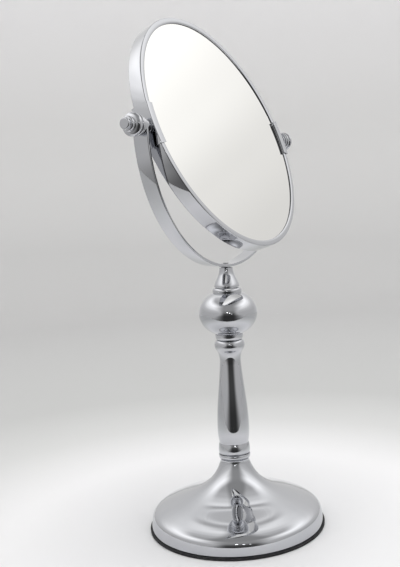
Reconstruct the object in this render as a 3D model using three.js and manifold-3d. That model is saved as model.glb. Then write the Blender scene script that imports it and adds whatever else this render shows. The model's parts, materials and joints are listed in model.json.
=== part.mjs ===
// A round, two-sided tabletop mirror that tilts in a half-circle yoke on a turned pedestal.
// Units are millimetres and +Z is up. The origin is on the resting surface, under the pedestal's centre line.
// The front glass faces -Y, and the tilt axis runs along X.

import * as THREE from "three";
import { mergeVertices } from "three/addons/utils/BufferGeometryUtils.js";
import Module from "manifold-3d";

const wasm = await Module();
wasm.setup();

// ---- Driving dimensions ----

const HEAD_TILT = THREE.MathUtils.degToRad(20.6); // how far the front glass leans back
const PIVOT_HEIGHT = 305.4;

const RIM_RADIUS = 93;
const RIM_WIDTH = 11.5;
const RIM_WALL = 0.9;
const LIP_RADIUS = 88.5; // inner edge of the rim's two lips
const GLASS_RADIUS = 90.5;
const GLASS_THICKNESS = 2;
const MAGNIFIER_SPHERE = 1200; // radius of curvature of the magnifying glass
const FIT_GAP = 0.3; // between pieces that lie on each other in the tilted head

const YOKE_RADIUS = 100.55; // outer face of the strip
const YOKE_STRIP = 2;
const YOKE_WIDTH = 11.6;

const CLIP_WALL = 0.8;
const CLIP_LENGTH = 30;
const CLIP_TAB_RADIUS = 88; // the tabs reach just past the rim's lips

const STUD_RADIUS = 2;
const STUD_HOLE = 2.3;
const BUSH_RADIUS = 5;
const WASHER_RADIUS = 6.5;
const WASHER_THICKNESS = 1.8;
const KNOB_LENGTH = 13.8;
const KNOB_GAP = 0.2;

const ROD_RADIUS = 2.9;
const ROD_HOLE = 3.2;
const SCREW_RADIUS = 1.9;
const SCREW_HOLE = 2.2;
const SHELL_WALL = 1.2;

const PAD_RADIUS = 69.4;
const PAD_TOP = 2.2;
const SKIRT_RADIUS = 67.8;

// Heights of the joints in the pedestal's stack
const BASE_TOP = 53.6;
const FOOT_COLLAR_TOP = 57.9;
const COLUMN_TOP = 148.1;
const LOWER_COLLAR_TOP = 152.7;
const BALL_TOP = 184.6;
const UPPER_COLLAR_TOP = 188.7;
const CONE_TOP = PIVOT_HEIGHT - YOKE_RADIUS - FIT_GAP;
const ROD_TOP = 197;

// Numbers of facets around a turn
const RIM_FACETS = 72;
const BASE_FACETS = 48;
const COLUMN_FACETS = 32;
const SMALL_FACETS = 20;

// ---- Materials ----

const chrome = { color: 0xd4d5d8, roughness: 0.06, metalness: 1 };
const mirror = { color: 0xf2f2ee, roughness: 0.01, metalness: 1 };
const steel = { color: 0x9c9ea2, roughness: 0.35, metalness: 1 };
const castIron = { color: 0x3c3d40, roughness: 0.7, metalness: 0.6 };
const foam = { color: 0x8d8f8c, roughness: 0.95, metalness: 0 };
const rubber = { color: 0x141416, roughness: 0.8, metalness: 0 };

// ---- Outline helpers: an outline is a list of [radius, height] points ----

function bezier(start, control1, control2, end, steps) {
  const curve = new THREE.CubicBezierCurve(
    new THREE.Vector2(...start),
    new THREE.Vector2(...control1),
    new THREE.Vector2(...control2),
    new THREE.Vector2(...end),
  );
  return curve.getPoints(steps).map((point) => [point.x, point.y]);
}

// Part of an ellipse around [0, centre], from one height to another, bulging outwards.
function ellipse(centre, width, height, from, to, steps) {
  const angle = (z) => Math.asin((z - centre) / height);
  const points = [];
  for (let step = 0; step <= steps; step += 1) {
    const turn = THREE.MathUtils.lerp(angle(from), angle(to), step / steps);
    points.push([width * Math.cos(turn), centre + height * Math.sin(turn)]);
  }
  return points;
}

// An outline moved towards its left by the wall thickness, as seen along the outline.
function inset(points, wall) {
  return points.map((point, index) => {
    const before = points[Math.max(index - 1, 0)];
    const after = points[Math.min(index + 1, points.length - 1)];
    const run = new THREE.Vector2(after[0] - before[0], after[1] - before[1]).normalize();
    return [point[0] - wall * run.y, point[1] + wall * run.x];
  });
}

// ---- Solid helpers ----

// A closed outline turned around Y.
function spun(outline, facets) {
  const points = outline.map(([radius, height]) => new THREE.Vector2(radius, height));
  if (THREE.ShapeUtils.area(points) < 0) points.reverse();
  const onAxis = points.some((point) => point.x === 0);
  if (!onAxis) points.push(points[0].clone());
  return new THREE.LatheGeometry(points, facets);
}

// A closed outline turned around Z, whose heights are along Z.
const turned = (outline, facets) => spun(outline, facets).rotateX(Math.PI / 2);

// A closed outline turned around X, whose heights run outwards from the pivot on the given side.
const turnedSideways = (outline, side) => spun(outline, SMALL_FACETS).rotateZ((-side * Math.PI) / 2);

// A plain ring outline, or a disc when the inner radius is 0.
const ring = (inner, outer, bottom, top) => [
  [inner, bottom],
  [outer, bottom],
  [outer, top],
  [inner, top],
];

function solid(geometry) {
  const bare = geometry.index ? geometry.toNonIndexed() : geometry.clone();
  bare.deleteAttribute("normal");
  bare.deleteAttribute("uv");
  const merged = mergeVertices(bare, 1e-4);
  return new wasm.Manifold(
    new wasm.Mesh({
      numProp: 3,
      vertProperties: merged.attributes.position.array,
      triVerts: new Uint32Array(merged.index.array),
    }),
  );
}

function geometryOf(manifold) {
  const mesh = manifold.getMesh();
  const geometry = new THREE.BufferGeometry();
  geometry.setAttribute("position", new THREE.BufferAttribute(mesh.vertProperties, 3));
  geometry.setIndex(new THREE.BufferAttribute(mesh.triVerts, 1));
  const flat = geometry.toNonIndexed();
  flat.computeVertexNormals();
  return flat;
}

function box(low, high) {
  const size = high.map((value, axis) => value - low[axis]);
  const middle = high.map((value, axis) => (value + low[axis]) / 2);
  return solid(new THREE.BoxGeometry(...size).translate(...middle));
}

function piece(name, geometry, finish) {
  const mesh = new THREE.Mesh(geometry, new THREE.MeshStandardMaterial(finish));
  mesh.name = name;
  return mesh;
}

// ---- Base ----

function basePad() {
  const bevel = 0.5;
  const outline = [
    [0, 0],
    [PAD_RADIUS - bevel, 0],
    [PAD_RADIUS, bevel],
    [PAD_RADIUS, PAD_TOP - bevel],
    [PAD_RADIUS - bevel, PAD_TOP],
    [0, PAD_TOP],
  ];
  return piece("base_pad", turned(outline, BASE_FACETS), rubber);
}

const NECK_RADIUS = 11.3;

// The bell's outer face from the skirt's edge to the neck: an upright skirt, a round shoulder and a hollow flare.
function bellOutline(skirtSteps, shoulderSteps, flareSteps) {
  const skirtTop = [66.8, 10.4];
  const flareFoot = [56, 18.5];
  return [
    ...bezier([SKIRT_RADIUS, PAD_TOP], [67.7, 5], [67.4, 8], skirtTop, skirtSteps),
    ...bezier(skirtTop, [65.9, 14.4], [62, 15.9], flareFoot, shoulderSteps).slice(1),
    ...bezier(flareFoot, [36, 27.2], [18, 30], [NECK_RADIUS, 52], flareSteps).slice(1),
  ];
}

// A spun sheet-metal bell, open below, with a thick drilled top.
function baseCover() {
  const ceiling = BASE_TOP - 3;
  const inside = inset(bellOutline(1, 4, 8), SHELL_WALL).slice(1, -1);
  const outline = [
    ...bellOutline(2, 6, 9),
    [NECK_RADIUS, BASE_TOP],
    [ROD_HOLE, BASE_TOP],
    [ROD_HOLE, ceiling],
    [NECK_RADIUS - SHELL_WALL, ceiling],
    ...inside.reverse(),
    [SKIRT_RADIUS - SHELL_WALL, PAD_TOP],
  ];
  return piece("base_cover", turned(outline, BASE_FACETS), chrome);
}

const RECESS_ROOF = 9.4;
const RECESS_RADIUS = 13.5;

function baseWeight() {
  const outline = [
    [RECESS_RADIUS, PAD_TOP + FIT_GAP],
    [61, PAD_TOP + FIT_GAP],
    [61, 9],
    [53, 14],
    [18, 16],
    [10, 26],
    [ROD_HOLE, 26],
    [ROD_HOLE, RECESS_ROOF],
    [RECESS_RADIUS, RECESS_ROOF],
  ];
  return piece("base_weight", turned(outline, COLUMN_FACETS), castIron);
}

const WASHER_BOTTOM = RECESS_ROOF - 1.4;
const NUT_HEIGHT = 5;

function baseWasher() {
  const outline = ring(ROD_HOLE, 11, WASHER_BOTTOM, RECESS_ROOF);
  return piece("base_washer", turned(outline, SMALL_FACETS), steel);
}

function baseNut() {
  const acrossCorners = 10 / Math.cos(Math.PI / 6);
  const corners = [];
  for (let corner = 0; corner < 6; corner += 1) {
    const turn = (corner * Math.PI) / 3;
    corners.push(new THREE.Vector2(Math.cos(turn), Math.sin(turn)).multiplyScalar(acrossCorners / 2));
  }
  const shape = new THREE.Shape(corners);
  shape.holes.push(new THREE.Path().absarc(0, 0, ROD_HOLE, 0, 2 * Math.PI, true));
  const options = { depth: NUT_HEIGHT, bevelEnabled: false, curveSegments: 12 };
  const geometry = new THREE.ExtrudeGeometry(shape, options).translate(0, 0, WASHER_BOTTOM - NUT_HEIGHT);
  return piece("base_nut", geometry, steel);
}

function tieRod() {
  const outline = [
    [0, WASHER_BOTTOM - NUT_HEIGHT],
    [ROD_RADIUS, WASHER_BOTTOM - NUT_HEIGHT],
    [ROD_RADIUS, ROD_TOP],
    [0, ROD_TOP],
  ];
  return piece("tie_rod", turned(outline, SMALL_FACETS), steel);
}

// ---- Pedestal ----

function footCollar() {
  const outline = [
    [ROD_HOLE, BASE_TOP],
    [11.4, BASE_TOP],
    [12.25, 54.5],
    [12.4, 56],
    [12.3, 57.3],
    [11.8, FOOT_COLLAR_TOP],
    [ROD_HOLE, FOOT_COLLAR_TOP],
  ];
  return piece("foot_collar", turned(outline, COLUMN_FACETS), chrome);
}

// A cored casting: foot bead, barrel that tapers upwards, slim neck and top bead.
function column() {
  const crease = [11.45, 66.6];
  const belly = [12.5, 78];
  const neck = [8.15, 131];
  const beadFoot = [10.2, 139.5];
  const bead = [11.75, 143.6];
  const core = 5.6;
  const outline = [
    [ROD_HOLE, FOOT_COLLAR_TOP],
    [11.8, FOOT_COLLAR_TOP],
    ...bezier([12.4, 58.5], [12.6, 60.5], [12.1, 64], crease, 3),
    ...bezier(crease, [12, 68.5], [12.5, 73], belly, 3).slice(1),
    ...bezier(belly, [12.5, 96], [9.3, 112], neck, 6).slice(1),
    ...bezier(neck, [8.15, 134.5], [9, 138], beadFoot, 3).slice(1),
    ...bezier(beadFoot, [11, 140.5], [11.75, 142], bead, 2).slice(1),
    ...bezier(bead, [11.75, 145.6], [11.2, 147.4], [9.8, COLUMN_TOP], 3).slice(1),
    [ROD_HOLE, COLUMN_TOP],
    [ROD_HOLE, 142],
    [core, 138],
    [core, 66],
    [ROD_HOLE, 62],
  ];
  return piece("column", turned(outline, COLUMN_FACETS), chrome);
}

function lowerCollar() {
  const outline = [
    [ROD_HOLE, COLUMN_TOP],
    [9.8, COLUMN_TOP],
    [10.4, 148.7],
    [10.8, 150.4],
    [10.9, LOWER_COLLAR_TOP],
    [ROD_HOLE, LOWER_COLLAR_TOP],
  ];
  return piece("lower_collar", turned(outline, COLUMN_FACETS), chrome);
}

// A hollow flattened ball with flat seats for the collars and a hole for the rod.
function ball() {
  const centre = 168.9;
  const cavityHeight = 13.5;
  const reach = 13.3; // where the cavity meets the rod's holes
  const outline = [
    ...ellipse(centre, 22.75, 18.4, LOWER_COLLAR_TOP, BALL_TOP, 11),
    [ROD_HOLE, BALL_TOP],
    ...ellipse(centre, 20.5, cavityHeight, centre + reach, centre - reach, 5),
    [ROD_HOLE, LOWER_COLLAR_TOP],
  ];
  return piece("ball", turned(outline, COLUMN_FACETS), chrome);
}

function upperCollar() {
  const outline = [
    [ROD_HOLE, BALL_TOP],
    [11.4, BALL_TOP],
    [11.4, 186],
    [10.9, 187.7],
    [9.4, UPPER_COLLAR_TOP],
    [ROD_HOLE, UPPER_COLLAR_TOP],
  ];
  return piece("upper_collar", turned(outline, COLUMN_FACETS), chrome);
}

function topCone() {
  const outline = [
    [ROD_HOLE, UPPER_COLLAR_TOP],
    [9.4, UPPER_COLLAR_TOP],
    [9.85, 189.5],
    ...bezier([9.85, 190.8], [8.4, 193.2], [6.2, 198.5], [5.2, CONE_TOP], 6),
    [SCREW_HOLE, CONE_TOP],
    [SCREW_HOLE, ROD_TOP + FIT_GAP],
    [ROD_HOLE, ROD_TOP + FIT_GAP],
  ];
  return piece("top_cone", turned(outline, COLUMN_FACETS), chrome);
}

// ---- Yoke ----

const YOKE_INSIDE = YOKE_RADIUS - YOKE_STRIP;
const SINK_DEPTH = 1.7;
const SINK_RADIUS = 3.9;

// A flat strip bent to a half circle around the pivot axis, with rounded, drilled ends.
function yoke() {
  const halfWidth = YOKE_WIDTH / 2;
  const strip = new THREE.Shape()
    .moveTo(-YOKE_RADIUS, halfWidth)
    .lineTo(-YOKE_RADIUS, 0)
    .absarc(0, 0, YOKE_RADIUS, Math.PI, 2 * Math.PI, false)
    .lineTo(YOKE_RADIUS, halfWidth)
    .lineTo(YOKE_INSIDE, halfWidth)
    .lineTo(YOKE_INSIDE, 0)
    .absarc(0, 0, YOKE_INSIDE, 2 * Math.PI, Math.PI, true)
    .lineTo(-YOKE_INSIDE, halfWidth);
  const bent = new THREE.ExtrudeGeometry(strip, {
    depth: YOKE_WIDTH,
    bevelEnabled: false,
    curveSegments: 36,
  });
  bent.translate(0, 0, -halfWidth).rotateX(Math.PI / 2);

  const sideView = new THREE.Shape()
    .moveTo(-halfWidth, -YOKE_RADIUS - 1)
    .lineTo(halfWidth, -YOKE_RADIUS - 1)
    .lineTo(halfWidth, 0)
    .absarc(0, 0, halfWidth, 0, Math.PI, false);
  const reach = YOKE_RADIUS + 1;
  const envelope = new THREE.ExtrudeGeometry(sideView, {
    depth: 2 * reach,
    bevelEnabled: false,
    curveSegments: 12,
  });
  envelope.translate(0, 0, -reach).rotateX(Math.PI / 2).rotateZ(Math.PI / 2);

  const axleHole = turnedSideways(ring(0, STUD_HOLE, -reach, reach), 1);
  const screwHole = turned(
    [
      [0, -reach],
      [SCREW_HOLE, -reach],
      [SCREW_HOLE, -YOKE_INSIDE - SINK_DEPTH],
      [SINK_RADIUS, -YOKE_INSIDE],
      [SINK_RADIUS, -YOKE_INSIDE + 1],
      [0, -YOKE_INSIDE + 1],
    ],
    SMALL_FACETS,
  );
  const cut = solid(bent)
    .intersect(solid(envelope))
    .subtract(solid(axleHole))
    .subtract(solid(screwHole));
  const mesh = piece("yoke", geometryOf(cut), chrome);
  mesh.position.z = PIVOT_HEIGHT;
  return mesh;
}

function yokeScrew() {
  const face = PIVOT_HEIGHT - YOKE_INSIDE - 0.1;
  const outline = [
    [0, ROD_TOP + 1.2],
    [SCREW_RADIUS, ROD_TOP + 1.2],
    [SCREW_RADIUS, face - SINK_DEPTH + 0.3],
    [SINK_RADIUS - 0.4, face],
    [0, face],
  ];
  const slotLength = 2.2;
  const slotWidth = 0.45;
  const slotBottom = face - 1;
  const across = box([-slotLength, -slotWidth, slotBottom], [slotLength, slotWidth, face + 1]);
  const along = box([-slotWidth, -slotLength, slotBottom], [slotWidth, slotLength, face + 1]);
  const cut = solid(turned(outline, SMALL_FACETS)).subtract(across.add(along));
  return piece("yoke_screw", geometryOf(cut), steel);
}

// ---- Head: built upright around the pivot, with the front glass facing -Y ----

const RIM_HALF = RIM_WIDTH / 2;
const GLASS_FACE = RIM_HALF - RIM_WALL - FIT_GAP;

// A rolled channel with a lip at the front and back, split under the left clip.
function rimHoop() {
  const bevel = 0.5;
  const outline = [
    [LIP_RADIUS, -RIM_HALF],
    [RIM_RADIUS - bevel, -RIM_HALF],
    [RIM_RADIUS, -RIM_HALF + bevel],
    [RIM_RADIUS, RIM_HALF - bevel],
    [RIM_RADIUS - bevel, RIM_HALF],
    [LIP_RADIUS, RIM_HALF],
    [LIP_RADIUS, RIM_HALF - RIM_WALL],
    [RIM_RADIUS - RIM_WALL, RIM_HALF - RIM_WALL],
    [RIM_RADIUS - RIM_WALL, -RIM_HALF + RIM_WALL],
    [LIP_RADIUS, -RIM_HALF + RIM_WALL],
  ];
  const splitHeight = -12;
  const splitHalf = 0.4;
  const split = box(
    [-RIM_RADIUS - 1, -RIM_HALF - 1, splitHeight - splitHalf],
    [-LIP_RADIUS + 10, RIM_HALF + 1, splitHeight + splitHalf],
  );
  const axleHole = solid(turnedSideways(ring(0, STUD_HOLE, -RIM_RADIUS - 1, RIM_RADIUS + 1), 1));
  const cut = solid(spun(outline, RIM_FACETS)).subtract(split).subtract(axleHole);
  return piece("rim_hoop", geometryOf(cut), chrome);
}

function frontGlass() {
  const outline = ring(0, GLASS_RADIUS, -GLASS_FACE, -GLASS_FACE + GLASS_THICKNESS);
  return piece("front_glass", spun(outline, RIM_FACETS), mirror);
}

// The magnifying glass is dished: it faces +Y and its middle lies nearer to the front.
function backGlass() {
  const rings = 3;
  const sag = (radius) => (GLASS_RADIUS ** 2 - radius ** 2) / (2 * MAGNIFIER_SPHERE);
  const face = [];
  for (let step = 0; step <= rings; step += 1) {
    const radius = (GLASS_RADIUS * step) / rings;
    face.push([radius, GLASS_FACE - sag(radius)]);
  }
  const behind = face.map(([radius, height]) => [radius, height - GLASS_THICKNESS]).reverse();
  return piece("back_glass", spun([...face, ...behind], RIM_FACETS), mirror);
}

function spacerRing() {
  const front = -GLASS_FACE + GLASS_THICKNESS + FIT_GAP;
  const back = 1.5;
  return piece("spacer_ring", spun(ring(78, 90.2, front, back), COLUMN_FACETS), foam);
}

// ---- Pivots: the same five pieces on each side ----

const CLIP_RADIUS = RIM_RADIUS + FIT_GAP + CLIP_WALL;
const CLIP_HALF = RIM_HALF + FIT_GAP + CLIP_WALL;

// A folded saddle over the rim's band and lips that holds the stud.
function saddleClip(sideName, side) {
  const bevel = 0.5;
  const outline = [
    [CLIP_TAB_RADIUS, -CLIP_HALF],
    [CLIP_RADIUS - bevel, -CLIP_HALF],
    [CLIP_RADIUS, -CLIP_HALF + bevel],
    [CLIP_RADIUS, CLIP_HALF - bevel],
    [CLIP_RADIUS - bevel, CLIP_HALF],
    [CLIP_TAB_RADIUS, CLIP_HALF],
    [CLIP_TAB_RADIUS, CLIP_HALF - CLIP_WALL],
    [RIM_RADIUS + FIT_GAP, CLIP_HALF - CLIP_WALL],
    [RIM_RADIUS + FIT_GAP, -CLIP_HALF + CLIP_WALL],
    [CLIP_TAB_RADIUS, -CLIP_HALF + CLIP_WALL],
  ];
  const near = side * (CLIP_TAB_RADIUS - 10);
  const far = side * (CLIP_RADIUS + 1);
  const stretch = box(
    [Math.min(near, far), -CLIP_HALF - 1, -CLIP_LENGTH / 2],
    [Math.max(near, far), CLIP_HALF + 1, CLIP_LENGTH / 2],
  );
  const hole = solid(turnedSideways(ring(0, STUD_HOLE, 0, CLIP_RADIUS + 1), side));
  const cut = solid(spun(outline, RIM_FACETS)).intersect(stretch).subtract(hole);
  return piece(`${sideName}_saddle_clip`, geometryOf(cut), chrome);
}

const KNOB_FOOT = YOKE_RADIUS + WASHER_THICKNESS + 2 * KNOB_GAP;
const STUD_REACH = 9; // how far the stud goes into the knob

// A stud with a flat head inside the rim, through the clip, the bush, the yoke and the knob.
function pivotStud(sideName, side) {
  const headFace = RIM_RADIUS - RIM_WALL - FIT_GAP;
  const headThickness = 0.8;
  const outline = [
    [0, headFace - headThickness],
    [3.4, headFace - headThickness],
    [3.4, headFace],
    [STUD_RADIUS, headFace],
    [STUD_RADIUS, KNOB_FOOT + STUD_REACH],
    [0, KNOB_FOOT + STUD_REACH],
  ];
  return piece(`${sideName}_pivot_stud`, turnedSideways(outline, side), steel);
}

function pivotBush(sideName, side) {
  const start = CLIP_RADIUS + 0.15;
  const end = YOKE_INSIDE - 0.15;
  const round = 1;
  const outline = [
    [STUD_HOLE, start],
    [BUSH_RADIUS - round, start],
    [BUSH_RADIUS, start + round],
    [BUSH_RADIUS, end - round],
    [BUSH_RADIUS - round, end],
    [STUD_HOLE, end],
  ];
  return piece(`${sideName}_pivot_bush`, turnedSideways(outline, side), chrome);
}

function frictionWasher(sideName, side) {
  const start = YOKE_RADIUS + KNOB_GAP;
  const end = start + WASHER_THICKNESS;
  const round = 0.6;
  const outline = [
    [STUD_HOLE, start],
    [WASHER_RADIUS, start],
    [WASHER_RADIUS, end - round],
    [WASHER_RADIUS - round, end],
    [STUD_HOLE, end],
  ];
  const mesh = piece(`${sideName}_friction_washer`, turnedSideways(outline, side), chrome);
  mesh.position.z = PIVOT_HEIGHT;
  return mesh;
}

// A turned knob: two round discs with a groove between them, a stepped neck and a small flat cap.
function tensionKnob(sideName, side) {
  const holeDepth = STUD_REACH + 0.5;
  const outline = [
    [0, holeDepth],
    [STUD_HOLE, holeDepth],
    [STUD_HOLE, 0],
    [5.8, 0],
    ...bezier([6.1, 0.2], [7.3, 0.5], [7.3, 2.3], [6.1, 2.6], 3),
    [5.4, 3.1],
    ...bezier([6, 3.6], [8, 4], [8, 6.4], [5.8, 7.6], 4),
    [4.4, 8.5],
    ...bezier([4.6, 9], [5.4, 9.2], [5.2, 10.8], [4, 11.3], 2),
    [3.1, 11.7],
    ...bezier([3.5, 12.1], [3.9, 12.3], [3.9, 13.4], [3.5, KNOB_LENGTH], 2),
    [0, KNOB_LENGTH],
  ];
  const placed = outline.map(([radius, along]) => [radius, KNOB_FOOT + along]);
  return piece(`${sideName}_tension_knob`, turnedSideways(placed, side), chrome);
}

// ---- Assembly ----

const mirrorStand = new THREE.Group();
mirrorStand.add(
  basePad(),
  baseCover(),
  baseWeight(),
  baseWasher(),
  baseNut(),
  tieRod(),
  footCollar(),
  column(),
  lowerCollar(),
  ball(),
  upperCollar(),
  topCone(),
  yoke(),
  yokeScrew(),
);

const head = new THREE.Group();
head.position.z = PIVOT_HEIGHT;
head.rotation.x = -HEAD_TILT;
head.add(rimHoop(), frontGlass(), backGlass(), spacerRing());
mirrorStand.add(head);

for (const [sideName, side] of [
  ["left", -1],
  ["right", 1],
]) {
  head.add(saddleClip(sideName, side), pivotStud(sideName, side));
  head.add(pivotBush(sideName, side), tensionKnob(sideName, side));
  mirrorStand.add(frictionWasher(sideName, side));
}

export default mirrorStand;
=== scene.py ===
import json
import math

import bmesh
import bpy
from mathutils import Matrix, Vector


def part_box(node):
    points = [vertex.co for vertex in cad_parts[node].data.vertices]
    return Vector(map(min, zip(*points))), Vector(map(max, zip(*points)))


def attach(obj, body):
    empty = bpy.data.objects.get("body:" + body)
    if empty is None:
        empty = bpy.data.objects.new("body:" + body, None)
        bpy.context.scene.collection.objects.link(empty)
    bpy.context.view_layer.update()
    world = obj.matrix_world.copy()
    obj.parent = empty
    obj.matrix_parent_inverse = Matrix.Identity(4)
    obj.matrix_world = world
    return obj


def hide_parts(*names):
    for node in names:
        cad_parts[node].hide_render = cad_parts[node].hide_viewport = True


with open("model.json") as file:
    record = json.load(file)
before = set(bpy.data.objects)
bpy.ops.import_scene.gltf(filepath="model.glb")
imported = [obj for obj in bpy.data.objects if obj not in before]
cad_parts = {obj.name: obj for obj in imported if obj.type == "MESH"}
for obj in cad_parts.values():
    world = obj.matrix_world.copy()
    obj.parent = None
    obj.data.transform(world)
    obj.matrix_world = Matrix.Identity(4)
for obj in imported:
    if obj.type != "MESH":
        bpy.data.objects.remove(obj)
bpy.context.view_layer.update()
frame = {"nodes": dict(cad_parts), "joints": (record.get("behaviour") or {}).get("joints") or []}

MM = 0.001

# ---- Driving values ----

HEAD_TILT = math.radians(20.6)
TILT_JOINT = next(joint for joint in frame["joints"] if joint["name"] == "head_tilt")
PIVOT = Vector(TILT_JOINT["pos_m"])
SIDES = {"left": -1, "right": 1}

RIM_RADIUS = 93
RIM_HALF = 5.75
RIM_WALL = 0.9
LIP_RADIUS = 88.5
RIM_CORNER = 0.8
LIP_ROLL = 2.2  # width over which the lip's inner edge rolls in
SPLIT_HEIGHT = -12  # where the rolled rim's ends meet, from the pivot
SPLIT_GAP = 0.8

GLASS_RADIUS = 90.5
GLASS_FACE = 4.55
GLASS_THICKNESS = 2
MAGNIFIER_SPHERE = 1200  # radius of curvature of the back glass

YOKE_RADIUS = 100.55
YOKE_STRIP = 2
YOKE_HALF = 5.8
YOKE_EDGE = 0.45

CLIP_RADIUS = 94.1
CLIP_HALF = 6.85
CLIP_WALL = 0.8
CLIP_TAB_RADIUS = 88
CLIP_CORNER = 0.7
CLIP_ROLL = 0.5
CLIP_LENGTH = 30

STUD_HOLE = 2.3
SCREW_HOLE = 2.2
ROD_HOLE = 3.2
SHELL_WALL = 1.2
GROOVE_DEPTH = 1.3  # the shadow line between two stacked pieces
SEAT_DEPTH = 0.35  # the finer line where the ball sits in its collars
GROOVE_HALF = 0.22

FINE = 192  # facets around the rim, the yoke and the base
MEDIUM = 128  # around the pedestal
SMALL = 72  # around the knobs
SHARP_ANGLE = math.radians(38)

# The camera stands in front of the mirror, well to its left and a little above the pedestal.
CAMERA_PLACE = Vector((-0.51102, -0.30649, 0.24898))
CAMERA_YAW = math.radians(60.034)
CAMERA_PITCH = math.radians(-5.554)
CAMERA_ROLL = math.radians(-2.578)
CAMERA_LENS = 49.11
CAMERA_SHIFT = -0.0705
CAMERA_SIDE = math.atan2(CAMERA_PLACE.y, CAMERA_PLACE.x)


# ---- Outlines: lists of (radius, height) ----

def bezier(start, control1, control2, end, steps=14):
    """Points along a cubic curve, with both of its ends."""
    points = []
    for step in range(steps + 1):
        t = step / steps
        weights = ((1 - t) ** 3, 3 * t * (1 - t) ** 2, 3 * t * t * (1 - t), t ** 3)
        corners = (start, control1, control2, end)
        points.append(tuple(sum(w * c[axis] for w, c in zip(weights, corners)) for axis in (0, 1)))
    return points


def chain(*curves):
    """Curves that follow each other, without the points that they share."""
    points = list(curves[0])
    for curve in curves[1:]:
        points += curve[1:] if math.dist(points[-1], curve[0]) < 1e-6 else curve
    return points


def fillet(corner, before, after, radius, steps=5):
    """The round arc that takes the place of a corner of an outline."""
    corner, before, after = Vector(corner), Vector(before), Vector(after)
    back, ahead = (before - corner).normalized(), (after - corner).normalized()
    half = back.angle(ahead) / 2
    reach = radius / math.tan(half)
    start, end = corner + back * reach, corner + ahead * reach
    centre = corner + (back + ahead).normalized() * radius / math.sin(half)
    points = []
    for step in range(steps + 1):
        spoke = start.lerp(end, step / steps) - centre
        points.append(tuple(centre + spoke.normalized() * radius))
    return points


def rounded(corners):
    """A closed outline from (radius, height, corner radius)."""
    points = []
    for index, (x, y, radius) in enumerate(corners):
        before = corners[index - 1][:2]
        after = corners[(index + 1) % len(corners)][:2]
        points += fillet((x, y), before, after, radius) if radius else [(x, y)]
    return points


def inset(points, wall):
    """An outline moved to its left by the wall's thickness."""
    moved = []
    for index, point in enumerate(points):
        before = Vector(points[max(index - 1, 0)])
        after = Vector(points[min(index + 1, len(points) - 1)])
        run = (after - before).normalized()
        moved.append((point[0] - wall * run.y, point[1] + wall * run.x))
    return moved


def lifted(points, amount):
    """An outline moved along its axis."""
    return [(radius, height + amount) for radius, height in points]


# ---- Meshes ----

def bridge(builder, near, far, closed=True):
    """Four-sided faces between two rows of corners."""
    count = len(near)
    for index in range(count if closed else count - 1):
        after = (index + 1) % count
        builder.faces.new((near[index], near[after], far[after], far[index]))


def finish_mesh(name, mesh_builder, materials):
    bmesh.ops.remove_doubles(mesh_builder, verts=mesh_builder.verts, dist=1e-7)
    bmesh.ops.recalc_face_normals(mesh_builder, faces=mesh_builder.faces)
    mesh = bpy.data.meshes.new(name)
    mesh_builder.to_mesh(mesh)
    mesh_builder.free()
    for material in materials:
        mesh.materials.append(material)
    smooth(mesh)
    made = bpy.data.objects.new(name, mesh)
    bpy.context.scene.collection.objects.link(made)
    return made


def smooth(mesh):
    mesh.shade_smooth()
    mesh.set_sharp_from_angle(angle=SHARP_ANGLE)


def lathe(name, outline, place, materials, facets=MEDIUM, start=0.0, sweep=2 * math.pi):
    """A closed outline turned around the local Z axis, or part of a turn with closed ends."""
    whole = sweep > 2 * math.pi - 1e-6
    stations = facets if whole else facets + 1
    builder = bmesh.new()
    rings = []
    for station in range(stations):
        angle = start + sweep * station / facets
        spoke = Vector((math.cos(angle), math.sin(angle), 0))
        ring = []
        for radius, height in outline:
            local = (spoke * radius + Vector((0, 0, height))) * MM
            ring.append(builder.verts.new(place @ local))
        rings.append(ring)
    count = len(outline)
    for station in range(facets):
        near, far = rings[station], rings[(station + 1) % stations]
        for index in range(count):
            after = (index + 1) % count
            on_axis = outline[index][0] == 0 and outline[after][0] == 0
            if not on_axis:
                builder.faces.new((near[index], near[after], far[after], far[index]))
    if not whole:
        builder.faces.new(rings[0])
        builder.faces.new(rings[-1])
    return finish_mesh(name, builder, materials)


def apply_boolean(target, cutter, operation):
    modifier = target.modifiers.new("cut", "BOOLEAN")
    modifier.operation = operation
    modifier.solver = "EXACT"
    modifier.object = cutter
    evaluated = target.evaluated_get(bpy.context.evaluated_depsgraph_get())
    mesh = bpy.data.meshes.new_from_object(evaluated)
    target.modifiers.clear()
    old = target.data
    target.data = mesh
    bpy.data.meshes.remove(old)
    bpy.data.objects.remove(cutter)
    mesh.name = target.name
    smooth(mesh)
    return target


def drill(target, radius, place, start, end):
    """Cuts a round hole along the local Z axis of a place."""
    outline = [(0, start), (radius, start), (radius, end), (0, end)]
    cutter = lathe("cutter", outline, place, [], SMALL)
    return apply_boolean(target, cutter, "DIFFERENCE")


# ---- Places ----

def upright(height):
    return Matrix.Translation((0, 0, height))


def foot_of(node):
    """The height of the lowest point of a CAD node."""
    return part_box(node)[0].z


HEAD = Matrix.Translation(PIVOT) @ Matrix.Rotation(-HEAD_TILT, 4, "X")
HEAD_BACKWARD = HEAD @ Matrix.Rotation(-math.pi / 2, 4, "X")


def outward(side):
    """The pivot's place with its local Z axis pointing out to one side."""
    return Matrix.Translation(PIVOT) @ Matrix.Rotation(side * math.pi / 2, 4, "Y")


def stand_for(made, body, slot, *nodes):
    """Puts a finished piece on its body in place of its CAD nodes."""
    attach(made, body)
    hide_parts(*nodes)
    return made


# ---- Materials ----

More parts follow.
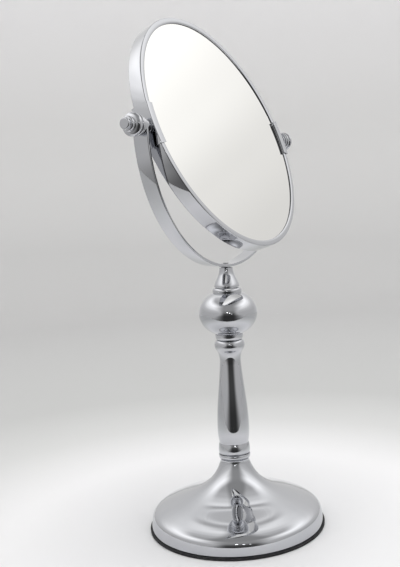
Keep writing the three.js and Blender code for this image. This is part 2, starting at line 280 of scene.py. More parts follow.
class Nodes:
    """A small helper that makes and links a material's nodes."""

    def __init__(self, name):
        self.material = bpy.data.materials.new(name)
        self.material.use_nodes = True
        self.tree = self.material.node_tree
        self.shader = self.tree.nodes["Principled BSDF"]
        self.place = self.add("ShaderNodeTexCoord").outputs["Object"]

    def add(self, kind, **settings):
        node = self.tree.nodes.new(kind)
        for key, value in settings.items():
            setattr(node, key, value)
        return node

    def link(self, source, target):
        self.tree.links.new(source, target)

    def noise(self, scale, detail=3.0, stretch=(1, 1, 1)):
        mapping = self.add("ShaderNodeMapping")
        mapping.inputs["Scale"].default_value = stretch
        self.link(self.place, mapping.inputs["Vector"])
        noise = self.add("ShaderNodeTexNoise")
        noise.inputs["Scale"].default_value = scale
        noise.inputs["Detail"].default_value = detail
        self.link(mapping.outputs["Vector"], noise.inputs["Vector"])
        return noise.outputs["Fac"]

    def ramp(self, factor, *stops):
        """A colour ramp from (position, colour) stops."""
        ramp = self.add("ShaderNodeValToRGB")
        elements = ramp.color_ramp.elements
        while len(elements) < len(stops):
            elements.new(0.5)
        for element, (position, colour) in zip(elements, stops):
            element.position = position
            element.color = (*colour, 1)
        self.link(factor, ramp.inputs["Fac"])
        return ramp.outputs["Color"]

    def between(self, factor, low, high):
        """A number that runs from low to high over the middle of a noise's range."""
        spread = self.add("ShaderNodeMapRange")
        spread.inputs["From Min"].default_value = 0.3
        spread.inputs["From Max"].default_value = 0.7
        spread.inputs["To Min"].default_value = low
        spread.inputs["To Max"].default_value = high
        self.link(factor, spread.inputs["Value"])
        return spread.outputs["Result"]

    def bump(self, height, depth, strength=1.0, base=None):
        bump = self.add("ShaderNodeBump")
        bump.inputs["Distance"].default_value = depth
        bump.inputs["Strength"].default_value = strength
        self.link(height, bump.inputs["Height"])
        if base is not None:
            self.link(base, bump.inputs["Normal"])
        self.link(bump.outputs["Normal"], self.shader.inputs["Normal"])
        return bump.outputs["Normal"]

    def set(self, **values):
        for key, value in values.items():
            self.shader.inputs[key.replace("_", " ")].default_value = value


def chrome_material():
    """Polished plate: nearly a mirror, with a breath of haze and a slow waviness from polishing."""
    nodes = Nodes("chrome")
    nodes.set(Metallic=1.0)
    tone = nodes.ramp(
        nodes.noise(26, 2),
        (0.35, (0.535, 0.545, 0.572)),
        (0.65, (0.565, 0.572, 0.598)),
    )
    nodes.link(tone, nodes.shader.inputs["Base Color"])
    haze = nodes.between(nodes.noise(45, 5), 0.025, 0.06)
    nodes.link(haze, nodes.shader.inputs["Roughness"])
    nodes.bump(nodes.noise(38, 1), 0.00002, 0.5)
    return nodes.material


def mirror_material():
    """Silver behind clear glass."""
    nodes = Nodes("mirror_face")
    nodes.set(Metallic=1.0)
    tone = nodes.ramp(
        nodes.noise(9, 1),
        (0.4, (0.885, 0.88, 0.858)),
        (0.6, (0.9, 0.893, 0.872)),
    )
    nodes.link(tone, nodes.shader.inputs["Base Color"])
    haze = nodes.between(nodes.noise(30, 4), 0.004, 0.014)
    nodes.link(haze, nodes.shader.inputs["Roughness"])
    return nodes.material


def glass_edge_material():
    """The ground edge of the glass, green and dull."""
    nodes = Nodes("glass_edge")
    tone = nodes.ramp(
        nodes.noise(900, 2),
        (0.3, (0.24, 0.34, 0.3)),
        (0.7, (0.4, 0.5, 0.45)),
    )
    nodes.link(tone, nodes.shader.inputs["Base Color"])
    nodes.set(Roughness=0.35)
    nodes.bump(nodes.noise(1800, 2), 0.00004)
    return nodes.material


def backing_material():
    """The grey paint behind the silver."""
    nodes = Nodes("mirror_backing")
    tone = nodes.ramp(
        nodes.noise(160, 4),
        (0.3, (0.2, 0.205, 0.21)),
        (0.7, (0.26, 0.265, 0.27)),
    )
    nodes.link(tone, nodes.shader.inputs["Base Color"])
    nodes.set(Roughness=0.6)
    nodes.bump(nodes.noise(700, 3), 0.00005)
    return nodes.material


def steel_material():
    """Zinc-plated steel with fine machining lines."""
    nodes = Nodes("plain_steel")
    nodes.set(Metallic=1.0)
    tone = nodes.ramp(
        nodes.noise(140, 4),
        (0.3, (0.42, 0.43, 0.44)),
        (0.7, (0.6, 0.6, 0.61)),
    )
    nodes.link(tone, nodes.shader.inputs["Base Color"])
    nodes.link(nodes.between(nodes.noise(220, 3), 0.28, 0.42), nodes.shader.inputs["Roughness"])
    nodes.bump(nodes.noise(500, 2, (1, 1, 6)), 0.00006)
    return nodes.material


def cast_material():
    """A rough sand casting with rust in its pits."""
    nodes = Nodes("cast_weight")
    nodes.set(Metallic=0.5, Roughness=0.75)
    tone = nodes.ramp(
        nodes.noise(120, 6),
        (0.3, (0.075, 0.045, 0.03)),
        (0.5, (0.045, 0.045, 0.048)),
        (0.75, (0.085, 0.085, 0.09)),
    )
    nodes.link(tone, nodes.shader.inputs["Base Color"])
    nodes.bump(nodes.noise(420, 6), 0.0005)
    return nodes.material


def foam_material():
    """Closed-cell foam."""
    nodes = Nodes("spacer_foam")
    nodes.set(Roughness=0.95)
    tone = nodes.ramp(
        nodes.noise(900, 3),
        (0.35, (0.2, 0.205, 0.2)),
        (0.65, (0.32, 0.325, 0.32)),
    )
    nodes.link(tone, nodes.shader.inputs["Base Color"])
    cells = nodes.add("ShaderNodeTexVoronoi")
    cells.inputs["Scale"].default_value = 1100
    nodes.link(nodes.place, cells.inputs["Vector"])
    nodes.bump(cells.outputs["Distance"], 0.0003)
    return nodes.material


def rubber_material():
    """Matt black rubber with a little dust."""
    nodes = Nodes("pad_rubber")
    tone = nodes.ramp(
        nodes.noise(260, 5),
        (0.35, (0.008, 0.008, 0.01)),
        (0.62, (0.014, 0.014, 0.016)),
        (0.8, (0.04, 0.039, 0.038)),
    )
    nodes.link(tone, nodes.shader.inputs["Base Color"])
    nodes.link(nodes.between(nodes.noise(300, 3), 0.6, 0.8), nodes.shader.inputs["Roughness"])
    nodes.bump(nodes.noise(1500, 3), 0.00012)
    return nodes.material


CHROME = chrome_material()
MIRROR = mirror_material()
GLASS_EDGE = glass_edge_material()
BACKING = backing_material()
STEEL = steel_material()
CAST = cast_material()
FOAM = foam_material()
RUBBER = rubber_material()


# ---- Base ----

def base_pad():
    """A rubber disc with round grooves below, so that it grips."""
    radius = 69  # a little less than the CAD disc, so that less of its edge shows
    top = 2.2
    groove_depth = 0.5
    groove_width = 1.4
    outline = [(0, top), (0, 0)]
    for groove in (20, 32, 44, 56):
        outline += [(groove, 0), (groove, groove_depth)]
        outline += [(groove + groove_width, groove_depth), (groove + groove_width, 0)]
    outline += bezier((radius - 0.9, 0), (radius - 0.3, 0), (radius, 0.3), (radius, 0.9), 6)
    outline += bezier((radius, top - 0.6), (radius, top - 0.2), (radius - 0.2, top), (radius - 0.8, top), 6)
    made = lathe("base_pad_grooved", outline, upright(foot_of("base_pad")), [RUBBER], FINE)
    return stand_for(made, "stand", "pad_rubber", "base_pad")


def bell_outline():
    """The bell's outer face from the skirt's edge to the neck, above the pad's top."""
    skirt_top = (66.8, 8.2)
    flare_foot = (56, 16.3)
    skirt = bezier((67.75, 0.35), (67.7, 2.8), (67.4, 5.8), skirt_top)
    shoulder = bezier(skirt_top, (65.9, 12.2), (62, 13.7), flare_foot, 28)
    flare = bezier(flare_foot, (36, 25), (18, 27.8), (11.3, 49.8), 44)
    return chain(skirt, shoulder, flare)


def base_cover():
    """A spun bell with a hemmed edge and a thick drilled top."""
    top = 51.4
    ceiling = top - 3
    neck = 11.3
    outer = bell_outline()
    inner = inset(outer, SHELL_WALL)[2:-1]
    inner = [point for point in inner if point[1] < ceiling - 0.5]
    outline = [
        (66.6, 0),
        (67.5, 0),
        *outer,
        (neck, top - GROOVE_HALF),
        (neck - GROOVE_DEPTH, top - GROOVE_HALF),
        (neck - GROOVE_DEPTH, top),
        (ROD_HOLE, top),
        (ROD_HOLE, ceiling),
        (neck - SHELL_WALL, ceiling),
        *reversed(inner),
    ]
    made = lathe("base_bell", outline, upright(foot_of("base_cover")), [CHROME], FINE)
    return stand_for(made, "stand", "chrome", "base_cover")


# ---- Pedestal: turned pieces threaded on the tie rod ----

def turned_piece(name, node, face, foot_groove=GROOVE_DEPTH, top_groove=GROOVE_DEPTH):
    """A turned piece from its outer face, which runs upwards, with a groove at both ends."""
    bottom_radius, bottom = face[0]
    top_radius, top = face[-1]
    outline = [
        (ROD_HOLE, bottom),
        (bottom_radius - foot_groove, bottom),
        (bottom_radius - foot_groove, bottom + GROOVE_HALF),
        *[point for point in face if bottom + GROOVE_HALF <= point[1] <= top - GROOVE_HALF],
        (top_radius - top_groove, top - GROOVE_HALF),
        (top_radius - top_groove, top),
        (ROD_HOLE, top),
    ]
    made = lathe(name, outline, upright(foot_of(node)), [CHROME], MEDIUM)
    return stand_for(made, "stand", "chrome", node)


def foot_collar():
    face = bezier((11.4, 0), (12.6, 0.7), (12.8, 3.3), (11.8, 4.3), 20)
    return turned_piece("foot_collar_turned", "foot_collar", face)


def column():
    """Foot bead, barrel that tapers upwards, slim neck and top bead. Heights are above the collar."""
    face = chain(
        bezier((11.8, 0), (12.4, 0.6), (12.6, 2.6), (12.1, 6.1)),
        bezier((12.1, 6.1), (11.95, 7.1), (11.6, 8), (11.45, 8.7), 6),
        bezier((11.45, 8.7), (11.9, 10.6), (12.5, 15.1), (12.5, 20.1)),
        bezier((12.5, 20.1), (12.5, 38.1), (9.3, 54.1), (8.15, 73.1), 24),
        bezier((8.15, 73.1), (8.15, 76.6), (9, 80.1), (10.2, 81.6)),
        bezier((10.2, 81.6), (11, 82.6), (11.75, 84.1), (11.75, 85.7), 8),
        bezier((11.75, 85.7), (11.75, 87.7), (11.2, 89.5), (9.8, 90.2), 12),
    )
    return turned_piece("column_turned", "column", face)


def lower_collar():
    face = bezier((9.8, 0), (10.5, 0.6), (10.85, 2.2), (10.9, 4.6), 14)
    return turned_piece("lower_collar_turned", "lower_collar", face, top_groove=SEAT_DEPTH)


def ball():
    """A flattened ball between two seats."""
    half_width = 22.75
    half_height = 18.4
    centre = 16.2
    top = 31.9
    low_angle = math.asin(-centre / half_height)
    high_angle = math.asin((top - centre) / half_height)
    steps = 64
    face = []
    for step in range(steps + 1):
        angle = low_angle + (high_angle - low_angle) * step / steps
        face.append((half_width * math.cos(angle), centre + half_height * math.sin(angle)))
    return turned_piece("ball_turned", "ball", face, SEAT_DEPTH, SEAT_DEPTH)


def upper_collar():
    face = chain(
        [(11.4, 0), (11.4, 1.4)],
        bezier((11.4, 1.4), (11.4, 2.8), (10.7, 3.9), (9.4, 4.1), 12),
    )
    return turned_piece("upper_collar_turned", "upper_collar", face, foot_groove=SEAT_DEPTH)


def top_cone():
    height = (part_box("top_cone")[1].z - foot_of("top_cone")) / MM
    face = chain(
        bezier((9.4, 0), (9.7, 0.25), (9.85, 0.5), (9.85, 0.9), 6),
        bezier((9.85, 0.9), (9.85, 2.3), (8.4, 4.7), (6.2, 9.9), 16)[:-1],
        bezier((6.2, 9.9), (5.6, 11.5), (5.3, 13.7), (5.2, height), 12),
    )
    return turned_piece("top_cone_turned", "top_cone", face)


# ---- Yoke ----

def strip_section(half_width, half_thickness):
    """The strip's cross-section, with rounded edges: (across, outwards) points."""
    radius = min(YOKE_EDGE, half_width * 0.9, half_thickness * 0.9)
    corners = [
        (-half_width, -half_thickness, radius),
        (half_width, -half_thickness, radius),
        (half_width, half_thickness, radius),
        (-half_width, half_thickness, radius),
    ]
    return rounded(corners)


def yoke_stations():
    """(x, z, tangent angle, half width) along the strip's middle line, from the left end to the right."""
    middle = YOKE_RADIUS - YOKE_STRIP / 2
    end_steps = 16
    arc_steps = FINE
    first = math.radians(2)
    end = []
    for step in range(end_steps):
        angle = first + (math.pi / 2 - first) * step / end_steps
        end.append((YOKE_HALF * math.cos(angle), YOKE_HALF * math.sin(angle)))
    stations = [(-middle, height, math.pi, half) for height, half in end]
    for step in range(arc_steps + 1):
        angle = math.pi + math.pi * step / arc_steps
        stations.append((middle * math.cos(angle), middle * math.sin(angle), angle, YOKE_HALF))
    stations += [(middle, height, 2 * math.pi, half) for height, half in reversed(end)]
    return stations


def yoke():
    """A half circle of flat strip with round drilled ends and rounded edges."""
    builder = bmesh.new()
    rings = []
    for x, z, angle, half_width in yoke_stations():
        spoke = Vector((math.cos(angle), 0, math.sin(angle)))
        middle = Vector((x, 0, z))
        ring = []
        for across, out in strip_section(half_width, YOKE_STRIP / 2):
            point = middle + spoke * out + Vector((0, across, 0))
            ring.append(builder.verts.new(PIVOT + point * MM))
        rings.append(ring)
    for near, far in zip(rings, rings[1:]):
        bridge(builder, near, far)
    builder.faces.new(rings[0])
    builder.faces.new(rings[-1])
    made = finish_mesh("yoke_strip", builder, [CHROME])
    reach = YOKE_RADIUS + 1
    drill(made, STUD_HOLE, outward(1), -reach, reach)
    inside = YOKE_RADIUS - YOKE_STRIP
    sink_depth = 1.7
    sink_radius = 3.9
    sink = [
        (0, -reach),
        (SCREW_HOLE, -reach),
        (SCREW_HOLE, -inside - sink_depth),
        (sink_radius, -inside),
        (sink_radius, -inside + 1),
        (0, -inside + 1),
    ]
    cutter = lathe("cutter", sink, Matrix.Translation(PIVOT), [], SMALL)
    apply_boolean(made, cutter, "DIFFERENCE")
    return stand_for(made, "stand", "chrome", "yoke")


def yoke_screw():
    """A countersunk screw with a cross recess."""
    foot = foot_of("yoke_screw")
    length = (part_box("yoke_screw")[1].z - foot) / MM
    shank = 1.9
    thread = 1.55
    pitch = 0.7
    head = 3.42
    neck = length - 1.4
    outline = [(0, 0), (thread - 0.4, 0)]
    height = 0.4
    while height + pitch < neck - 0.6:
        outline += [(thread, height), (shank, height + pitch / 2)]
        height += pitch
    outline += [(shank, neck), (head, length - 0.12), (head, length - 0.04), (3.3, length), (0, length)]
    made = lathe("yoke_screw_cross", outline, upright(foot), [STEEL], SMALL)
    for turn in (0, math.pi / 2):
        builder = bmesh.new()
        bmesh.ops.create_cube(builder, size=1)
        size = Matrix.Diagonal((4.4 * MM, 0.9 * MM, 2 * MM, 1))
        place = upright(foot + length * MM) @ Matrix.Rotation(turn, 4, "Z")
        bmesh.ops.transform(builder, matrix=place @ size, verts=builder.verts)
        apply_boolean(made, finish_mesh("cutter", builder, []), "DIFFERENCE")
    return stand_for(made, "stand", "plain_steel", "yoke_screw")


# ---- Head: turned around the axis through both glasses, with the front towards -Z of the lathe ----

def channel_outline(outer, half, wall, inner, corner, lead):
    """A bent sheet that covers the rim's front, side and back: (radius, depth) points.
    Its inner edges roll in over the lead's width."""
    inside = max(corner - wall, 0.15)
    drop = wall - 0.1
    roll = bezier(
        (inner, half - drop),
        (inner, half - drop * 0.35),
        (inner + lead * 0.3, half),
        (inner + lead, half),
        8,
    )
    return [
        *[(radius, -depth) for radius, depth in roll],
        *fillet((outer, -half), (inner, -half), (outer, half), corner),
        *fillet((outer, half), (outer, -half), (inner, half), corner),
        *reversed(roll),
        (inner, half - wall),
        *fillet((outer - wall, half - wall), (inner, half - wall), (outer - wall, 0), inside),
        *fillet((outer - wall, wall - half), (outer - wall, 0), (inner, wall - half), inside),
        (inner, wall - half),
    ]


def rim_hoop():
    """The rolled channel, split under the left clip."""
    outline = channel_outline(RIM_RADIUS, RIM_HALF, RIM_WALL, LIP_RADIUS, RIM_CORNER, LIP_ROLL)
    gap = SPLIT_GAP / RIM_RADIUS
    split = math.pi - math.asin(SPLIT_HEIGHT / RIM_RADIUS)
    # The lathe's Y axis points down in the upright head.
    start = -split + gap / 2
    made = lathe("rim_channel", outline, HEAD_BACKWARD, [CHROME], FINE, start, 2 * math.pi - gap)
    drill(made, STUD_HOLE, outward(1), -RIM_RADIUS - 1, RIM_RADIUS + 1)
    return stand_for(made, "head", "chrome", "rim_hoop")


def paint_glass(made, face_sign):
    """Gives the silvered face, the ground edge and the painted back their own materials."""
    axis = (HEAD.to_3x3() @ Vector((0, face_sign, 0))).normalized()
    for polygon in made.data.polygons:
        facing = polygon.normal.dot(axis)
        if facing > 0.9:
            polygon.material_index = 0
        elif facing < -0.9:
            polygon.material_index = 2
        else:
            polygon.material_index = 1


def glass_outline(face, seam=0.35, rings=1, sphere=None):
    """A glass with small ground chamfers. Depth 0 is the plane of its edge, and the glass lies above it."""
    def sag(radius):
        return (GLASS_RADIUS ** 2 - radius ** 2) / (2 * sphere) if sphere else 0

    front = [GLASS_RADIUS * ring / rings for ring in range(rings)] + [GLASS_RADIUS - seam]
    near = [(radius, face + sag(radius)) for radius in front]
    far = [(radius, height + GLASS_THICKNESS) for radius, height in reversed(near)]
    edge = [
        (GLASS_RADIUS, face + seam),
        (GLASS_RADIUS, face + GLASS_THICKNESS - seam),
    ]
    return [*near, *edge, *far]


def front_glass():
    outline = glass_outline(-GLASS_FACE)
    materials = [MIRROR, GLASS_EDGE, BACKING]
    made = lathe("front_mirror_glass", outline, HEAD_BACKWARD, materials, FINE)
    paint_glass(made, -1)
    return stand_for(made, "head", "mirror_glass", "front_glass")


def back_glass():
    """The dished magnifying glass, whose middle lies nearer to the front."""
    outline = glass_outline(-GLASS_FACE, rings=24, sphere=MAGNIFIER_SPHERE)
    materials = [MIRROR, GLASS_EDGE, BACKING]
    place = HEAD_BACKWARD @ Matrix.Rotation(math.pi, 4, "X")
    made = lathe("back_mirror_glass", outline, place, materials, FINE)
    paint_glass(made, 1)
    return stand_for(made, "head", "mirror_glass", "back_glass")


def saddle_clip(side_name, side):
    """A folded saddle over the rim that holds the stud."""
    outline = channel_outline(
        CLIP_RADIUS, CLIP_HALF, CLIP_WALL, CLIP_TAB_RADIUS, CLIP_CORNER, CLIP_ROLL
    )
    facets = 24
    half_sweep = math.asin(CLIP_LENGTH / 2 / CLIP_RADIUS)
    middle = 0 if side > 0 else math.pi
    made = lathe(
        f"{side_name}_clip_folded",
        outline,
        HEAD_BACKWARD,
        [CHROME],
        facets,
        middle - half_sweep,
        2 * half_sweep,
    )
    drill(made, STUD_HOLE, outward(side), RIM_RADIUS - 2, CLIP_RADIUS + 1)
    return stand_for(made, "head", "chrome", f"{side_name}_saddle_clip")


# ---- Pivots: (radius, distance out from the pivot's middle) ----

def pivot_piece(name, outline, side, material, body, slot, node):
    made = lathe(name, outline, outward(side), [material], SMALL)
    return stand_for(made, body, slot, node)


def reach_of(node, side):
    """The nearest and farthest distance of a CAD node from the middle plane, in millimetres."""
    low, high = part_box(node)
    ends = sorted((side * low.x / MM, side * high.x / MM))
    return ends[0], ends[1]


def pivot_stud(side_name, side):
    node = f"{side_name}_pivot_stud"
    start, end = reach_of(node, side)
    head = 0.8
    shank = 2
    thread_start = end - 8
    outline = [
        (0, start),
        *bezier((2.6, start), (3.1, start), (3.4, start + 0.15), (3.4, start + 0.4), 5),
        (3.4, start + head),
        (shank, start + head),
        (shank, thread_start),
    ]
    pitch = 0.7
    height = thread_start
    while height + pitch < end - 0.5:
        outline += [(shank - 0.35, height + pitch / 2), (shank, height + pitch)]
        height += pitch
    outline += [(shank - 0.5, end), (0, end)]
    return pivot_piece(f"{side_name}_stud_threaded", outline, side, STEEL, "head", "plain_steel", node)


def pivot_bush(side_name, side):
    node = f"{side_name}_pivot_bush"
    start, end = reach_of(node, side)
    radius = 5
    outline = rounded([
        (STUD_HOLE, start, 0),
        (radius, start, 1),
        (radius, end, 1),
        (STUD_HOLE, end, 0),
    ])
    return pivot_piece(f"{side_name}_bush_turned", outline, side, CHROME, "head", "chrome", node)


def friction_washer(side_name, side):
    node = f"{side_name}_friction_washer"
    start, end = reach_of(node, side)
    radius = 6.5
    outline = rounded([
        (STUD_HOLE, start, 0),
        (radius, start, 0.3),
        (radius, end, 0.7),
        (STUD_HOLE, end, 0),
    ])
    return pivot_piece(f"{side_name}_washer_turned", outline, side, CHROME, "stand", "chrome", node)


def tension_knob(side_name, side):
    """Two round discs with a groove between them, a stepped neck and a small flat cap."""
    node = f"{side_name}_tension_knob"
    start, end = reach_of(node, side)
    length = end - start
    hole = 9.5
    outline = chain(
        [(0, hole), (STUD_HOLE, hole), (STUD_HOLE, 0), (5.8, 0)],
        bezier((5.8, 0), (6.9, 0.1), (7.3, 0.6), (7.3, 1.35), 8),
        bezier((7.3, 1.35), (7.3, 2.1), (6.8, 2.55), (6, 2.65), 8),
        bezier((6, 2.65), (5.4, 2.75), (5.4, 3.3), (6, 3.5), 6),
        bezier((6, 3.5), (7.4, 3.8), (7.9, 4.4), (7.9, 5.3), 10),
        bezier((7.9, 5.3), (7.9, 6.6), (6.8, 7.3), (5.6, 7.7), 10),
        bezier((5.6, 7.7), (4.8, 7.95), (4.3, 8.2), (4.4, 8.7), 6),
        bezier((4.4, 8.7), (5.4, 9), (5.4, 10.9), (4.2, 11.2), 10),
        bezier((4.2, 11.2), (3.5, 11.3), (3.1, 11.4), (3.1, 11.7), 6),
        bezier((3.1, 11.7), (3.75, 11.8), (3.9, 12.2), (3.9, 12.7), 8),
        bezier((3.9, 12.7), (3.9, 13.5), (3.6, length), (2.8, length), 8),
        [(2.8, length), (0, length)],
    )
    placed = lifted(outline, start)
    body = f"{side_name}_knob"
    return pivot_piece(f"{side_name}_knob_turned", placed, side, CHROME, body, "chrome", node)


# ---- Studio ----

FLOOR_EDGE = 0.23  # how far the table reaches in front of the mirror
FLOOR_SHINE_RADIUS = 1.2
SWEEP_START = 1.3
SWEEP_ROUND = 0.5
SWEEP_TOP = 3.0
DOME_RADIUS = 30.0


def unseen(thing, **kinds):
    """Hides a thing from the kinds of ray that are given as False."""
    for kind, shown in kinds.items():
        setattr(thing, f"visible_{kind}", shown)


def reflected_only(thing):
    """Leaves a thing seen by reflections and by nothing else."""
    unseen(thing, camera=False, diffuse=False, shadow=False, transmission=False, volume_scatter=False)


def glow_material(name):
    """A material that only gives off light, and its emission node."""
    material = bpy.data.materials.new(name)
    material.use_nodes = True
    tree = material.node_tree
    tree.nodes.clear()
    glow = tree.nodes.new("ShaderNodeEmission")
    output = tree.nodes.new("ShaderNodeOutputMaterial")
    tree.links.new(glow.outputs["Emission"], output.inputs["Surface"])
    return material, glow


def paper_material():
    """Matt white paper with light and shade painted into its colour: a painted pool of light round the
    mirror, painted shade close to the base, greyer farther out where it rises and lighter towards its top,
    as the light would fall.
    """
    nodes = Nodes("studio_paper_painted_light")
    split = nodes.add("ShaderNodeSeparateXYZ")
    nodes.link(nodes.place, split.inputs["Vector"])
    square = nodes.add("ShaderNodeVectorMath", operation="MULTIPLY")
    square.inputs[1].default_value = (1, 1, 0)
    nodes.link(nodes.place, square.inputs[0])
    distance = nodes.add("ShaderNodeVectorMath", operation="LENGTH")
    nodes.link(square.outputs["Vector"], distance.inputs[0])
    climb = nodes.add("ShaderNodeMath", operation="ADD")
    nodes.link(distance.outputs["Value"], climb.inputs[0])
    nodes.link(split.outputs["Z"], climb.inputs[1])
    share = nodes.add("ShaderNodeMapRange")
    share.inputs["From Min"].default_value = 0
    share.inputs["From Max"].default_value = 4
    nodes.link(climb.outputs["Value"], share.inputs["Value"])
    # This ramp paints light and shade into the paper: a little darker close to the base, a bright pool round
    # the mirror, greyer farther out and up the sweep, and lighter again towards its top.
    tone = nodes.ramp(
        share.outputs["Result"],
        (0.0, (0.7, 0.705, 0.71)),
        (0.045, (0.82, 0.82, 0.82)),
        (0.075, (0.62, 0.625, 0.615)),
        (0.11, (0.52, 0.525, 0.515)),
        (0.3, (0.525, 0.525, 0.52)),
        (0.45, (0.57, 0.57, 0.564)),
        (0.57, (0.74, 0.738, 0.73)),
        (0.8, (0.86, 0.852, 0.866)),
    )
    nodes.link(tone, nodes.shader.inputs["Base Color"])
    nodes.set(Roughness=0.9)
    nodes.bump(nodes.noise(600, 3), 0.00008)
    return nodes.material


def floor_corner(toward, sideways):
    """A floor point from its distances towards the camera's side and across."""
    ahead = Vector((math.cos(CAMERA_SIDE), math.sin(CAMERA_SIDE), 0))
    across = Vector((-ahead.y, ahead.x, 0))
    return ahead * toward + across * sideways


def studio_floor(paper):
    """The near part of the floor shows in the chrome. The part in front of the table's edge doesn't."""
    half = math.acos(FLOOR_EDGE / FLOOR_SHINE_RADIUS)
    steps = 96
    back = []
    for step in range(steps + 1):
        angle = half + (2 * math.pi - 2 * half) * step / steps
        toward = FLOOR_SHINE_RADIUS * math.cos(angle)
        back.append(floor_corner(toward, FLOOR_SHINE_RADIUS * math.sin(angle)))
    near = bmesh.new()
    near.faces.new([near.verts.new(point) for point in back])
    table = finish_mesh("studio_table", near, [paper])
    front = []
    for step in range(steps + 1):
        angle = -half + 2 * half * step / steps
        toward = FLOOR_SHINE_RADIUS * math.cos(angle)
        front.append(floor_corner(toward, FLOOR_SHINE_RADIUS * math.sin(angle)))
    builder = bmesh.new()
    builder.faces.new([builder.verts.new(point) for point in front])
    apron = finish_mesh("studio_apron", builder, [paper])
    unseen(apron, glossy=False)


def studio_sweep(paper):
    """Paper that curves up all round the mirror."""
    profile = [(FLOOR_SHINE_RADIUS, 0), (SWEEP_START, 0)]
    for step in range(1, 17):
        angle = math.pi / 2 * step / 16
        radius = SWEEP_START + SWEEP_ROUND * math.sin(angle)
        profile.append((radius, SWEEP_ROUND * (1 - math.cos(angle))))
    profile.append((SWEEP_START + SWEEP_ROUND, SWEEP_TOP))
    facets = 128
    builder = bmesh.new()
    rings = []
    for facet in range(facets):
        angle = 2 * math.pi * facet / facets
        ring = []
        for radius, height in profile:
            ring.append(builder.verts.new((radius * math.cos(angle), radius * math.sin(angle), height)))
        rings.append(ring)
    for facet in range(facets):
        bridge(builder, rings[facet], rings[(facet + 1) % facets], closed=False)
    sweep = finish_mesh("studio_sweep", builder, [paper])
    unseen(sweep, glossy=False)


def ease(value, low, high):
    """0 below low, 1 above high, and smooth in between."""
    share = min(max((value - low) / (high - low), 0), 1)
    return share * share * (3 - 2 * share)


def profile_at(elevation, knots):
    """Brightness at an elevation, eased between (elevation, brightness) knots."""
    for (low, before), (high, after) in zip(knots, knots[1:]):
        if elevation <= high:
            return before + (after - before) * ease(elevation, low, high)
    return knots[-1][1]


# How bright the surroundings are at an elevation in degrees, from the floor up.
BESIDE = [
    (-90, 0.15), (-42, 0.2), (-28, 0.38), (-12, 0.62), (8, 0.64), (17, 0.74), (22, 0.86),
    (27, 1.12), (34, 1.42), (42, 1.7), (52, 1.7), (60, 1.3), (70, 0.62), (90, 0.45),
]
BEHIND = [(-90, 0.7), (-10, 0.7), (5, 0.74), (20, 0.8), (48, 0.86), (90, 0.8)]
AHEAD = [(-90, 0.05), (-8, 0.045), (4, 0.09), (16, 0.3), (30, 0.42), (90, 0.45)]

# Degrees of turn from the camera between which one kind of light gives way to the next.
REAR = (112, 165)
GAP_RIGHT = (14, 34)  # for someone at the mirror who faces the camera
GAP_LEFT = (18, 40)

# The brightness of the ceiling, at the elevation of the facet that would show it to the camera.
CEILING = [
    (0, 0.75), (30, 0.6), (50, 0.6), (58, 0.75), (63, 1), (65.8, 1.3), (66.8, 0.6),
    (67.2, 0.6), (67.9, 1.15), (68.4, 0.75), (90, 0.7),
]
TONGUE_LIGHT = 0.38
CAMERA_RISE = math.radians(23)  # how high the camera stands as seen from the base
TOWARD_CAMERA = Vector((
    math.cos(CAMERA_RISE) * math.cos(CAMERA_SIDE),
    math.cos(CAMERA_RISE) * math.sin(CAMERA_SIDE),
    math.sin(CAMERA_RISE),
))


def ceiling_light(direction):
    """The ceiling's brightness, with a dark tongue that narrows away from the camera."""
    facet = (direction + TOWARD_CAMERA).normalized()
    rise = math.degrees(math.asin(facet.z))
    turn = math.degrees(math.atan2(facet.y, facet.x) - CAMERA_SIDE)
    aside = abs((turn + 540) % 360 - 180)
    width = 24 - 14 * ease(rise, 42, 68)
    tongue = (1 - ease(aside, width - 8, width + 4)) * (1 - ease(rise, 66.6, 67.2))
    light = profile_at(rise, CEILING)
    return light + (TONGUE_LIGHT - light) * tongue


def painted_light(direction):
    """The light that the chrome sees in a direction: a dark gap where the camera stands,
    tall soft lights beside it, and white paper behind."""
    azimuth = math.degrees(math.atan2(direction.y, direction.x) - CAMERA_SIDE)
    azimuth = (azimuth + 540) % 360 - 180
    elevation = math.degrees(math.asin(max(-1, min(1, direction.z))))
    turn = abs(azimuth)
    rear = ease(turn, *REAR)
    light = profile_at(elevation, BESIDE) * (1 - rear) + profile_at(elevation, BEHIND) * rear
    low = 1 - ease(elevation, -14, 6)
    inner, outer = GAP_RIGHT if azimuth < 0 else GAP_LEFT
    gap = 1 - ease(turn, inner, outer + 30 * low + 45 * ease(elevation, 15, 40))
    light += (profile_at(elevation, AHEAD) - light) * gap
    return light + (ceiling_light(direction) - light) * ease(elevation, 42, 60)


def studio_dome():
    """What the polished faces see. It is on for reflections only."""
    columns = 300
    rows = 540
    builder = bmesh.new()
    shades = []
    rings = []
    for row in range(rows + 1):
        polar = math.pi * row / rows
        ring = []
        for column in range(columns):
            angle = 2 * math.pi * column / columns
            flat = math.sin(polar)
            direction = Vector((flat * math.cos(angle), flat * math.sin(angle), math.cos(polar)))
            ring.append(builder.verts.new(direction * DOME_RADIUS))
            shades.append(painted_light(direction))
        rings.append(ring)
    for near, far in zip(rings, rings[1:]):
        bridge(builder, near, far)
    mesh = bpy.data.meshes.new("studio_dome")
    builder.to_mesh(mesh)
    builder.free()
    light = mesh.attributes.new("light", "FLOAT", "POINT")
    light.data.foreach_set("value", shades)
    material, glow = glow_material("studio_dome")
    glow.inputs["Color"].default_value = (1.0, 0.995, 0.985, 1)
    source = material.node_tree.nodes.new("ShaderNodeAttribute")
    source.attribute_name = "light"
    material.node_tree.links.new(source.outputs["Fac"], glow.inputs["Strength"])
    mesh.materials.append(material)
    dome = bpy.data.objects.new("studio_dome", mesh)
    bpy.context.scene.collection.objects.link(dome)
    reflected_only(dome)


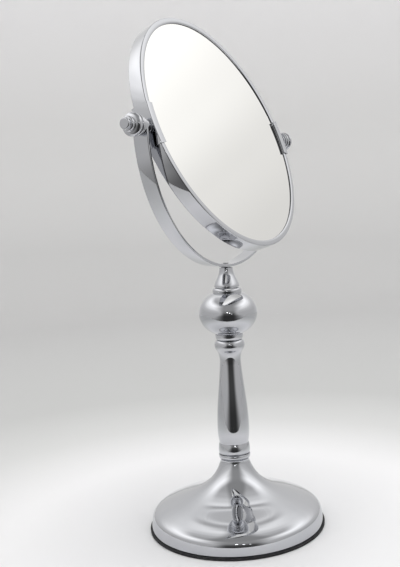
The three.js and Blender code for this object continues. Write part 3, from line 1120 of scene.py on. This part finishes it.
def small_lamp(name, azimuth, elevation, radius, strength):
    """A round lamp in the dark gap, seen only in the polished faces."""
    distance = 2.0
    turn = CAMERA_SIDE + math.radians(azimuth)
    rise = math.radians(elevation)
    direction = Vector((math.cos(rise) * math.cos(turn), math.cos(rise) * math.sin(turn), math.sin(rise)))
    builder = bmesh.new()
    place = Matrix.Translation(direction * distance) @ direction.to_track_quat("Z", "Y").to_matrix().to_4x4()
    bmesh.ops.create_circle(builder, cap_ends=True, segments=32, radius=radius, matrix=place)
    material, glow = glow_material(name)
    glow.inputs["Strength"].default_value = strength
    lamp = finish_mesh(name, builder, [material])
    reflected_only(lamp)


def studio_lights():
    """One wide soft light above, and an even fill from all round."""
    light = bpy.data.lights.new("overhead", "AREA")
    light.shape = "DISK"
    light.size = 1.8
    light.energy = 18
    overhead = bpy.data.objects.new("overhead", light)
    overhead.location = (0.1, -0.1, 2.2)
    unseen(overhead, camera=False, glossy=False)
    bpy.context.scene.collection.objects.link(overhead)
    world = bpy.data.worlds.new("fill")
    world.use_nodes = True
    background = world.node_tree.nodes["Background"]
    background.inputs["Color"].default_value = (1, 1, 1, 1)
    background.inputs["Strength"].default_value = 1.25
    bpy.context.scene.world = world


def camera():
    """Looks along a compass bearing and a pitch, rolled a little about the line of sight."""
    forward = Vector((
        math.sin(CAMERA_YAW) * math.cos(CAMERA_PITCH),
        math.cos(CAMERA_YAW) * math.cos(CAMERA_PITCH),
        math.sin(CAMERA_PITCH),
    ))
    right = Vector((math.cos(CAMERA_YAW), -math.sin(CAMERA_YAW), 0))
    up = right.cross(forward)
    turned_right = right * math.cos(CAMERA_ROLL) + up * math.sin(CAMERA_ROLL)
    turned_up = up * math.cos(CAMERA_ROLL) - right * math.sin(CAMERA_ROLL)
    data = bpy.data.cameras.new("camera")
    data.lens = CAMERA_LENS
    data.shift_x = CAMERA_SHIFT
    made = bpy.data.objects.new("camera", data)
    axes = Matrix((turned_right, turned_up, -forward)).transposed()
    made.matrix_world = Matrix.Translation(CAMERA_PLACE) @ axes.to_4x4()
    bpy.context.scene.collection.objects.link(made)
    bpy.context.scene.camera = made


# ---- Assembly ----

def hidden_pieces():
    """CAD nodes inside the object keep their own shape and get a finished material."""
    finishes = {
        "base_weight": CAST,
        "base_washer": STEEL,
        "base_nut": STEEL,
        "tie_rod": STEEL,
        "spacer_ring": FOAM,
    }
    for node, material in finishes.items():
        data = frame["nodes"][node].data
        data.materials.clear()
        data.materials.append(material)


def build():
    base_pad()
    base_cover()
    foot_collar()
    column()
    lower_collar()
    ball()
    upper_collar()
    top_cone()
    yoke()
    yoke_screw()
    rim_hoop()
    front_glass()
    back_glass()
    for side_name, side in SIDES.items():
        saddle_clip(side_name, side)
        pivot_stud(side_name, side)
        pivot_bush(side_name, side)
        friction_washer(side_name, side)
        tension_knob(side_name, side)
    hidden_pieces()


def studio():
    paper = paper_material()
    studio_floor(paper)
    studio_sweep(paper)
    studio_dome()
    small_lamp("lamp_near", -3, 19, 0.07, 6)
    small_lamp("lamp_far", 6, 15, 0.06, 5)
    small_lamp("lamp_side", 14, 10, 0.05, 3)
    studio_lights()
    bpy.context.scene.view_settings.view_transform = "Standard"


build()
studio()
camera()
